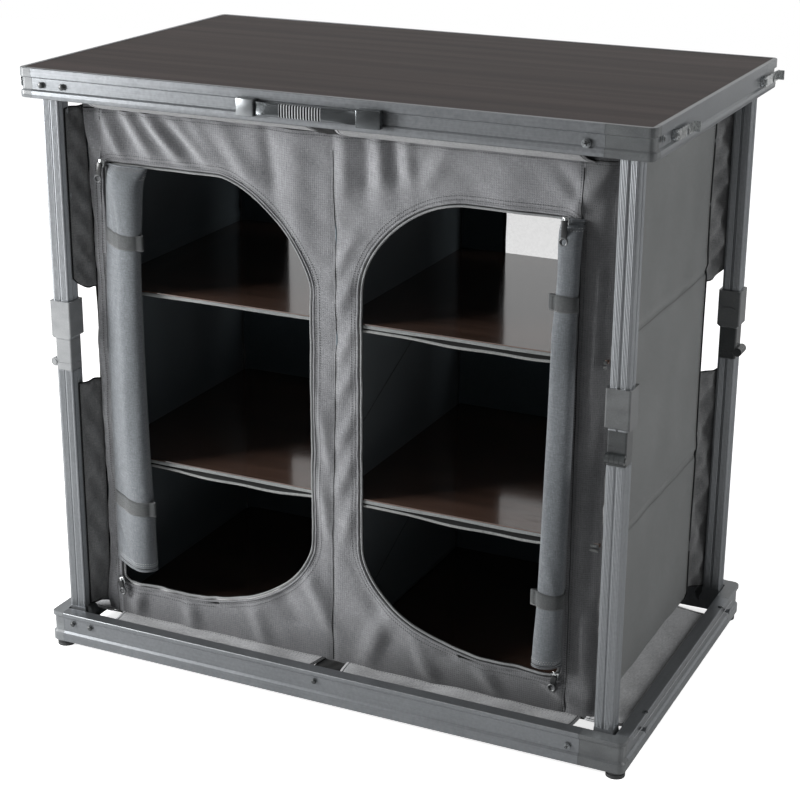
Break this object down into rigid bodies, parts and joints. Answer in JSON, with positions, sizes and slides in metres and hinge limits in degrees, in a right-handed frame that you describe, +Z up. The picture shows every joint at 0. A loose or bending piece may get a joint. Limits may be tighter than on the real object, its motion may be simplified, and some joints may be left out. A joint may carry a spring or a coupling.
{
  "type": "folding camp kitchen cupboard",
  "caption": "Folding camp kitchen cupboard: table top on hinged legs over a fabric cabinet with rolled doors and stiff shelves.",
  "frame": {"origin": "centre of the whole cupboard's footprint, at the underside of the feet", "axes": "+X to the right along the long rails, +Y from the doors to the back, +Z up"},
  "size_m": [0.8842, 0.536, 0.8286],
  "materials": {
    "coated_aluminium": "satin",
    "grey_plastic": "matte",
    "black_plastic": "gloss",
    "black_rubber": "matte",
    "wood_laminate": "satin",
    "shelf_board": "gloss",
    "grey_fabric": "matte",
    "door_fabric": "matte",
    "black_lining": "matte",
    "bright_steel": "satin"
  },
  "bodies": {
    "base": {"base_rail_front": "coated_aluminium", "base_rail_right": "coated_aluminium", "base_rail_back": "coated_aluminium", "base_rail_left": "coated_aluminium", "base_corner_rf": "grey_plastic", "base_corner_lf": "grey_plastic", "base_corner_lb": "grey_plastic", "base_corner_rb": "grey_plastic", "foot_rf": "black_rubber", "foot_lf": "black_rubber", "foot_lb": "black_rubber", "foot_rb": "black_rubber", "floor_board_left": "shelf_board", "floor_board_right": "shelf_board", "cabinet_shell": "grey_fabric", "front_panel": "grey_fabric", "divider": "black_lining", "door_roll_left": "door_fabric", "door_roll_right": "door_fabric"},
    "leg_lower_lf": {"lower_tube_lf": "coated_aluminium", "knee_socket_lf": "grey_plastic"},
    "leg_upper_lf": {"upper_tube_lf": "coated_aluminium", "knee_head_lf": "grey_plastic"},
    "leg_lower_rf": {"lower_tube_rf": "coated_aluminium", "knee_socket_rf": "grey_plastic"},
    "leg_upper_rf": {"upper_tube_rf": "coated_aluminium", "knee_head_rf": "grey_plastic"},
    "leg_lower_lb": {"lower_tube_lb": "coated_aluminium", "knee_socket_lb": "grey_plastic"},
    "leg_upper_lb": {"upper_tube_lb": "coated_aluminium", "knee_head_lb": "grey_plastic"},
    "leg_lower_rb": {"lower_tube_rb": "coated_aluminium", "knee_socket_rb": "grey_plastic"},
    "leg_upper_rb": {"upper_tube_rb": "coated_aluminium", "knee_head_rb": "grey_plastic"},
    "collar_lf": {"lock_collar_lf": "grey_plastic"},
    "collar_rf": {"lock_collar_rf": "grey_plastic"},
    "collar_lb": {"lock_collar_lb": "grey_plastic"},
    "collar_rb": {"lock_collar_rb": "grey_plastic"},
    "top": {"top_rail_front": "coated_aluminium", "top_rail_right": "coated_aluminium", "top_rail_back": "coated_aluminium", "top_rail_left": "coated_aluminium", "top_corner_rf": "grey_plastic", "top_corner_lf": "grey_plastic", "top_corner_lb": "grey_plastic", "top_corner_rb": "grey_plastic", "table_board": "wood_laminate", "handle_cap_left": "grey_plastic", "handle_cap_right": "grey_plastic"},
    "latch_rf": {"latch_right_front": "bright_steel"},
    "latch_rb": {"latch_right_back": "bright_steel"},
    "latch_lb": {"latch_left_back": "bright_steel"},
    "latch_lf": {"latch_left_front": "bright_steel"},
    "handle": {"handle_strap": "black_plastic"},
    "shelves_lower": {"lower_shelf_left": "shelf_board", "lower_shelf_right": "shelf_board"},
    "shelves_upper": {"upper_shelf_left": "shelf_board", "upper_shelf_right": "shelf_board"}
  },
  "joints": [
    {"name": "fold", "type": "hinge", "parent": "base", "child": "leg_lower_rf", "pos_m": [0.395, -0.2225, 0.0395], "axis": [-1, 0, 0], "range_deg": [0, 85], "deforming": ["cabinet_shell", "front_panel", "divider", "door_roll_left", "door_roll_right"]},
    {"name": "knee_rf", "type": "hinge", "parent": "leg_lower_rf", "child": "leg_upper_rf", "pos_m": [0.395, -0.2395, 0.42385], "axis": [1, 0, 0], "range_deg": [0, 170]},
    {"name": "top_pivot_rf", "type": "hinge", "parent": "leg_upper_rf", "child": "top", "pos_m": [0.395, -0.2225, 0.8082], "axis": [-1, 0, 0], "range_deg": [0, 85]},
    {"name": "base_pivot_lf", "type": "hinge", "parent": "base", "child": "leg_lower_lf", "pos_m": [-0.3965, -0.221, 0.0395], "axis": [0, 1, 0], "range_deg": [0, 85]},
    {"name": "knee_lf", "type": "hinge", "parent": "leg_lower_lf", "child": "leg_upper_lf", "pos_m": [-0.4135, -0.221, 0.42385], "axis": [0, -1, 0], "range_deg": [0, 170]},
    {"name": "base_pivot_lb", "type": "hinge", "parent": "base", "child": "leg_lower_lb", "pos_m": [-0.395, 0.2345, 0.0395], "axis": [1, 0, 0], "range_deg": [0, 85]},
    {"name": "knee_lb", "type": "hinge", "parent": "leg_lower_lb", "child": "leg_upper_lb", "pos_m": [-0.395, 0.2515, 0.42385], "axis": [-1, 0, 0], "range_deg": [0, 170]},
    {"name": "base_pivot_rb", "type": "hinge", "parent": "base", "child": "leg_lower_rb", "pos_m": [0.3965, 0.233, 0.0395], "axis": [0, -1, 0], "range_deg": [0, 85]},
    {"name": "knee_rb", "type": "hinge", "parent": "leg_lower_rb", "child": "leg_upper_rb", "pos_m": [0.4135, 0.233, 0.42385], "axis": [0, 1, 0], "range_deg": [0, 170]},
    {"name": "lower_shelves_drop", "type": "slide", "parent": "base", "child": "shelves_lower", "axis": [0, 0, -1], "range_m": [0, 0.2126]},
    {"name": "upper_shelves_drop", "type": "slide", "parent": "base", "child": "shelves_upper", "axis": [0, 0, -1], "range_m": [0, 0.4298]},
    {"name": "collar_lift_lf", "type": "slide", "parent": "leg_upper_lf", "child": "collar_lf", "axis": [0, 0, 1], "range_m": [0, 0.018]},
    {"name": "collar_lift_rf", "type": "slide", "parent": "leg_upper_rf", "child": "collar_rf", "axis": [0, 0, 1], "range_m": [0, 0.018]},
    {"name": "collar_lift_lb", "type": "slide", "parent": "leg_upper_lb", "child": "collar_lb", "axis": [0, 0, 1], "range_m": [0, 0.018]},
    {"name": "collar_lift_rb", "type": "slide", "parent": "leg_upper_rb", "child": "collar_rb", "axis": [0, 0, 1], "range_m": [0, 0.018]},
    {"name": "latch_turn_rf", "type": "hinge", "parent": "top", "child": "latch_rf", "pos_m": [0.43, -0.184, 0.8082], "axis": [-1, 0, 0], "range_deg": [0, 90]},
    {"name": "latch_turn_rb", "type": "hinge", "parent": "top", "child": "latch_rb", "pos_m": [0.43, 0.196, 0.8082], "axis": [-1, 0, 0], "range_deg": [0, 90]},
    {"name": "latch_turn_lb", "type": "hinge", "parent": "top", "child": "latch_lb", "pos_m": [-0.43, 0.196, 0.8082], "axis": [1, 0, 0], "range_deg": [0, 90]},
    {"name": "latch_turn_lf", "type": "hinge", "parent": "top", "child": "latch_lf", "pos_m": [-0.43, -0.184, 0.8082], "axis": [1, 0, 0], "range_deg": [0, 90]},
    {"name": "handle_pull", "type": "slide", "parent": "top", "child": "handle", "axis": [0, -1, 0], "range_m": [0, 0.018], "stiffness_N_per_m": 300}
  ],
  "couplings": [
    {"joint": "knee_rf", "follows": "fold", "ratio": 2},
    {"joint": "top_pivot_rf", "follows": "fold", "ratio": 1},
    {"joint": "base_pivot_lf", "follows": "fold", "ratio": 1},
    {"joint": "knee_lf", "follows": "fold", "ratio": 2},
    {"joint": "base_pivot_lb", "follows": "fold", "ratio": 1},
    {"joint": "knee_lb", "follows": "fold", "ratio": 2},
    {"joint": "base_pivot_rb", "follows": "fold", "ratio": 1},
    {"joint": "knee_rb", "follows": "fold", "ratio": 2},
    {"joint": "lower_shelves_drop", "follows": "fold", "m_per_rad": 0.1432},
    {"joint": "upper_shelves_drop", "follows": "fold", "m_per_rad": 0.2896}
  ]
}
